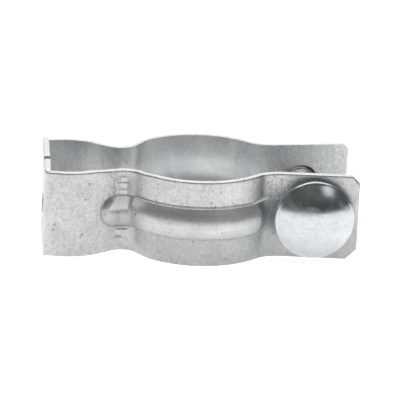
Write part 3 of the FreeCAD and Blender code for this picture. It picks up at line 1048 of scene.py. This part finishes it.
def cut_zinc(name, dark, light):
    """Sheared and dipped edges: smoother, with fine marks across the edge. On the cut edges the lighter tone
    is partly their own finish and partly painted light for the overhead light on the top edges.
    """
    n = Nodes(name)
    place = n.add("ShaderNodeTexCoord").outputs["Object"]
    tears = n.noise(n.stretched(place, (1.0, 1.0, 0.25)), 2600, 3, 0.6)
    cloud = n.noise(place, 500, 3, 0.6)
    tone = n.mix(n.remap(tears, 0.35, 0.65), grey(dark, 0.004), grey(light))
    tone = n.mix(n.remap(cloud, 0.45, 0.7, 0.0, 0.35), tone, grey(dark * 0.86))
    n.shader.inputs["Metallic"].default_value = 0.8
    n.connect(Base_Color=tone, Roughness=n.remap(cloud, 0.3, 0.7, 0.34, 0.24),
              Normal=n.bump(tears, 0.00002, 0.4))
    return n.material


def bright_zinc():
    """Bright, slightly blue zinc plate on the domed head: near mirror, with soft handling haze."""
    n = Nodes("bright_zinc_head")
    place = n.add("ShaderNodeTexCoord").outputs["Object"]
    haze = n.noise(place, 260, 4, 0.65, 0.8)
    fine = n.noise(place, 1900, 3, 0.6)
    scratch = n.noise(n.stretched(place, (9.0, 1.0, 0.8)), 1100, 2, 0.5, 0.8)
    smudge_and_shade = n.remap(n.noise(place, 420, 3, 0.55, 1.2), 0.48, 0.64)
    tone = n.mix(n.remap(haze, 0.35, 0.7), grey(0.60, 0.03), grey(0.69, 0.045))
    tone = n.mix(n.remap(fine, 0.52, 0.7, 0.0, 0.3), tone, grey(0.5, 0.02))
    roughness = n.math("ADD", n.remap(haze, 0.38, 0.66, 0.18, 0.24), n.times(smudge_and_shade, 0.03))
    roughness = n.math("ADD", roughness, n.remap(scratch, 0.55, 0.7, 0.0, 0.04))
    lumps = n.bump(n.noise(place, 200, 3, 0.6), 0.00016, 0.4)
    normal = n.bump(n.math("ADD", fine, scratch), 0.000004, 0.3, lumps)
    n.connect(Base_Color=tone, Metallic=n.less(smudge_and_shade, 0.16), Roughness=roughness, Normal=normal)
    return n.material


def satin_zinc(name, value, rough):
    """Plain zinc plate on threads and the nut: satin, a little cloudy."""
    n = Nodes(name)
    place = n.add("ShaderNodeTexCoord").outputs["Object"]
    cloud = n.noise(place, 420, 4, 0.6, 0.4)
    fine = n.noise(place, 3600, 3, 0.6)
    tone = n.mix(n.remap(cloud, 0.35, 0.68), grey(value * 0.8, 0.012), grey(value, 0.02))
    tone = n.mix(n.remap(fine, 0.52, 0.7, 0.0, 0.35), tone, grey(value * 0.6))
    n.shader.inputs["Metallic"].default_value = 0.95
    n.connect(Base_Color=tone, Roughness=n.remap(cloud, 0.3, 0.7, rough, rough + 0.14),
              Normal=n.bump(fine, 0.00002, 0.35))
    return n.material


def floor_paper():
    """Matt white paper, lit from below as on a light table."""
    n = Nodes("white_paper")
    place = n.add("ShaderNodeTexCoord").outputs["Object"]
    fibre = n.noise(place, 260, 3, 0.6)
    tone = n.mix(n.remap(fibre, 0.3, 0.7), grey(0.90), grey(0.93))
    n.shader.inputs["Specular IOR Level"].default_value = 0.1
    n.shader.inputs["Roughness"].default_value = 0.9
    n.shader.inputs["Emission Strength"].default_value = FLOOR_GLOW
    n.connect(Base_Color=tone, Emission_Color=tone)
    return n.material


# -------------------- build

# the cut edges are lighter than the faces, partly painted light for the overhead light on their tops
STRAP_FINISH = [galvanised(), cut_zinc("zinc_cut_edge", 0.7, 0.86),
                # a dark copy of the cut edge, painted shadow inside the notch
                cut_zinc("zinc_painted_notch_shadow", 0.1, 0.2)]
web, front_half, rear_half = build_strap(STRAP_FINISH)
bolt = build_bolt(bright_zinc(), satin_zinc("zinc_thread", 0.78, 0.22))
nut = build_nut(satin_zinc("zinc_nut", 0.74, 0.26))

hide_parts("strap_base")
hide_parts("front_jaw")
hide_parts("rear_jaw")
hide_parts("carriage_bolt")
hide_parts("hex_nut")

# the sheet bends smoothly between the base and each jaw, along the sides of the base box
seam_x = SEAM_RUN * math.cos(ARM_LEAN) * MM
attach(web, "base")
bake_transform(front_half, "base", "front_jaw", start=(seam_x, 0, 0), end=(BEND_END_X * MM, 0, 0))
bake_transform(rear_half, "base", "rear_jaw", start=(seam_x, 0, 0), end=(BEND_END_X * MM, 0, 0))
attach(bolt, "bolt")
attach(nut, "nut")


# -------------------- floor, light and camera

def build_floor():
    bm = bmesh.new()
    bmesh.ops.create_grid(bm, x_segments=8, y_segments=8, size=FLOOR_HALF_SIZE)
    obj = finish_mesh("floor", bm, [floor_paper()])
    obj.location = (MIDDLE, 0, -(WEB_WIDTH / 2 + FLOOR_GAP) * MM)


def aimed(name, place, target, data):
    obj = new_object(name, data)
    obj.location = place
    obj.rotation_euler = (Vector(target) - Vector(place)).to_track_quat("-Z", "Y").to_euler()
    return obj


def soft_box(name, place, size, power, target=(MIDDLE, 0, 0)):
    light = bpy.data.lights.new(name, "AREA")
    light.shape = "RECTANGLE"
    light.size, light.size_y = size
    light.energy = power
    return aimed(name, place, target, light)


def build_world():
    """A dark studio, a little lighter and warmer overhead than at the horizon."""
    world = bpy.data.worlds.new("studio")
    world.use_nodes = True
    tree = world.node_tree
    place = tree.nodes.new("ShaderNodeTexCoord")
    split = tree.nodes.new("ShaderNodeSeparateXYZ")
    ramp = tree.nodes.new("ShaderNodeValToRGB")
    low, high = ramp.color_ramp.elements
    low.position, low.color = 0.0, (0.042, 0.043, 0.046, 1)
    high.position, high.color = 0.85, (0.17, 0.163, 0.155, 1)
    tree.links.new(place.outputs["Generated"], split.inputs["Vector"])
    tree.links.new(split.outputs["Z"], ramp.inputs["Fac"])
    tree.links.new(ramp.outputs["Color"], tree.nodes["Background"].inputs["Color"])
    bpy.context.scene.world = world


def build_lights():
    soft_box("overhead", (MIDDLE, 0.19, 0.95), (1.3, 0.86), 6.0, (MIDDLE, 0.19, 0))
    soft_box("behind", (MIDDLE, 1.0, 0.42), (2.2, 0.8), 6.2)
    soft_box("window", (0.37, -0.42, 0.42), (0.17, 0.24), 0.13)


def build_camera():
    azimuth, elevation, roll = math.radians(-4.97), math.radians(19.36), math.radians(2.364)
    distance, aim = 571.5, Vector((29.11, 0.0, -0.334))
    pixels_per_mm, frame_pixels, sensor = 5.396, 400, 36.0
    back = Vector((math.sin(azimuth) * math.cos(elevation), -math.cos(azimuth) * math.cos(elevation),
                   math.sin(elevation)))
    right = Vector((math.cos(azimuth), math.sin(azimuth), 0))
    up = back.cross(right)
    turned_right = right * math.cos(roll) + up * math.sin(roll)
    turned_up = up * math.cos(roll) - right * math.sin(roll)
    camera = bpy.data.cameras.new("camera")
    camera.sensor_width = sensor
    camera.lens = pixels_per_mm * distance * sensor / frame_pixels
    camera.clip_start, camera.clip_end = 0.01, 10
    obj = new_object("camera", camera)
    axes = Matrix((turned_right, turned_up, back)).transposed().to_4x4()
    axes.translation = (aim + back * distance) * MM
    obj.matrix_world = axes
    bpy.context.scene.camera = obj


build_floor()
build_world()
build_lights()
build_camera()
bpy.context.scene.view_settings.view_transform = "Standard"
